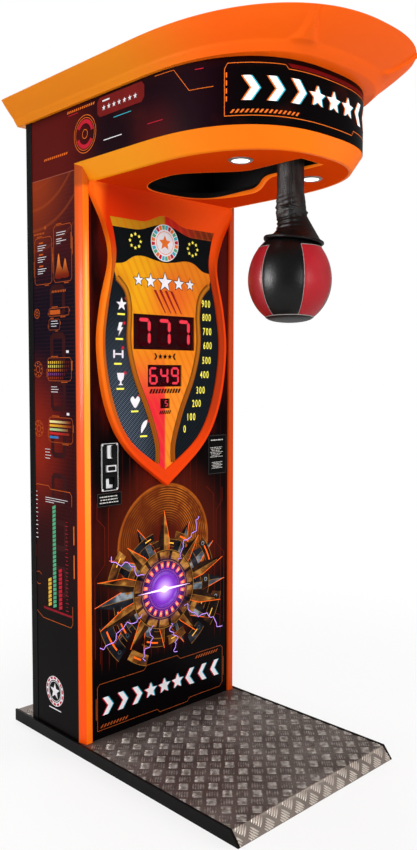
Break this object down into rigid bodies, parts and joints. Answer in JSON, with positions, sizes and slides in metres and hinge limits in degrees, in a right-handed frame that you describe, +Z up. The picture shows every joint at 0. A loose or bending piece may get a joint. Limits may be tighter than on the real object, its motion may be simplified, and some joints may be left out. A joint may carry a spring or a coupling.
{
  "type": "boxing arcade machine",
  "caption": "Free-standing strength tester with a leather ball on a swinging arm under a rounded head, a shield-shaped score board, a coin unit and a checker-plate base.",
  "frame": {"origin": "centre of the base footprint on the floor", "axes": "+Z up, the machine's front faces -Y, +X to the right of a player who faces it"},
  "size_m": [0.816, 1.26, 2.11],
  "materials": {
    "plywood": "raw",
    "checker_steel": "worn raised pattern",
    "black_steel": "satin",
    "printed_board": "gloss printed film on board",
    "black_board": "satin paint on board",
    "orange_shell": "gloss",
    "zinc_steel": "zinc plated",
    "chrome_metal": "polished",
    "printed_acrylic": "gloss print behind acrylic",
    "dark_trim": "satin",
    "smoked_window": "smoked, clear",
    "black_plastic": "satin",
    "red_segments": "lit from behind",
    "white_trim": "gloss",
    "lamp_glass": "frosted",
    "black_rubber": "matt",
    "circuit_board": "satin",
    "red_rocker": "gloss",
    "black_leather": "creased, semi-gloss",
    "red_black_leather": "semi-gloss"
  },
  "bodies": {
    "cabinet": {"base_core": "plywood", "tread_plate": "checker_steel", "base_rails": "black_steel", "left_side_panel": "printed_board", "right_side_panel": "printed_board", "cabinet_floor": "plywood", "front_panel": "printed_board", "rear_panel": "black_board", "rear_trims": "black_steel", "left_pillar": "orange_shell", "right_pillar": "orange_shell", "door_hinges": "zinc_steel", "shield_bezel": "orange_shell", "score_board": "printed_acrylic", "board_ribs": "dark_trim", "display_windows": "smoked_window", "digit_modules": "black_plastic", "score_digits": "red_segments", "best_digits": "red_segments", "turns_digits": "red_segments", "coin_plate": "black_steel", "coin_slot_bezel": "chrome_metal", "return_cup": "black_plastic", "coin_acceptor": "black_plastic", "coin_chute": "zinc_steel", "cash_box": "zinc_steel", "info_plates": "dark_trim", "plate_screws": "chrome_metal", "speaker": "black_plastic", "head_frame": "zinc_steel", "head_side_panels": "printed_board", "marquee": "printed_board", "head_rim": "orange_shell", "head_soffit": "orange_shell", "recess_box": "black_plastic", "roof_shell": "orange_shell", "lamp_bezels": "white_trim", "lamp_glasses": "lamp_glass", "pivot_brackets": "zinc_steel", "solenoid": "black_steel", "swing_sensor": "black_plastic", "ball_buffer": "black_rubber", "power_supply": "zinc_steel", "control_board": "circuit_board", "power_inlet": "black_plastic"},
    "bag_arm": {"pivot_shaft": "chrome_metal", "arm_tube": "zinc_steel", "bag_sleeve": "black_leather", "bag_skirt": "black_leather", "bag_ball": "red_black_leather", "bag_base": "black_rubber"},
    "catch": {"catch_pawl": "zinc_steel"},
    "plunger": {"solenoid_plunger": "chrome_metal"},
    "reject": {"reject_button": "chrome_metal"},
    "flap": {"return_flap": "chrome_metal"},
    "door": {"rear_door": "black_board", "hinge_leaves": "zinc_steel", "door_lock": "chrome_metal"},
    "cam": {"lock_cam": "zinc_steel"},
    "rocker": {"power_rocker": "red_rocker"}
  },
  "joints": [
    {"name": "bag_swing", "type": "hinge", "parent": "cabinet", "child": "bag_arm", "pos_m": [0, -0.4, 1.865], "axis": [1, 0, 0], "range_deg": [0, 88]},
    {"name": "pawl_turn", "type": "hinge", "parent": "cabinet", "child": "catch", "pos_m": [0.0565, -0.45883, 1.95], "axis": [1, 0, 0], "range_deg": [0, 12], "stiffness_Nm_per_rad": 0.2, "springref_deg": -5.73},
    {"name": "plunger_travel", "type": "slide", "parent": "cabinet", "child": "plunger", "axis": [0, -1, 0], "range_m": [0, 0.00341]},
    {"name": "reject_press", "type": "slide", "parent": "cabinet", "child": "reject", "axis": [0, 1, 0], "range_m": [0, 0.004], "stiffness_N_per_m": 250, "springref_m": -0.003},
    {"name": "flap_swing", "type": "hinge", "parent": "cabinet", "child": "flap", "pos_m": [-0.2325, 0.157, 0.877], "axis": [1, 0, 0], "range_deg": [0, 75]},
    {"name": "door_swing", "type": "hinge", "parent": "cabinet", "child": "door", "pos_m": [-0.251, 0.444, 0.68], "axis": [0, 0, 1], "range_deg": [0, 110]},
    {"name": "cam_turn", "type": "hinge", "parent": "door", "child": "cam", "pos_m": [0.215, 0.421, 0.68], "axis": [0, 1, 0], "range_deg": [0, 90]},
    {"name": "rocker_tilt", "type": "hinge", "parent": "cabinet", "child": "rocker", "pos_m": [0.287, 0.438, 0.166], "axis": [1, 0, 0], "range_deg": [0, 15]}
  ],
  "couplings": [
    {"joint": "plunger_travel", "follows": "pawl_turn", "m_per_rad": 0.016238}
  ]
}
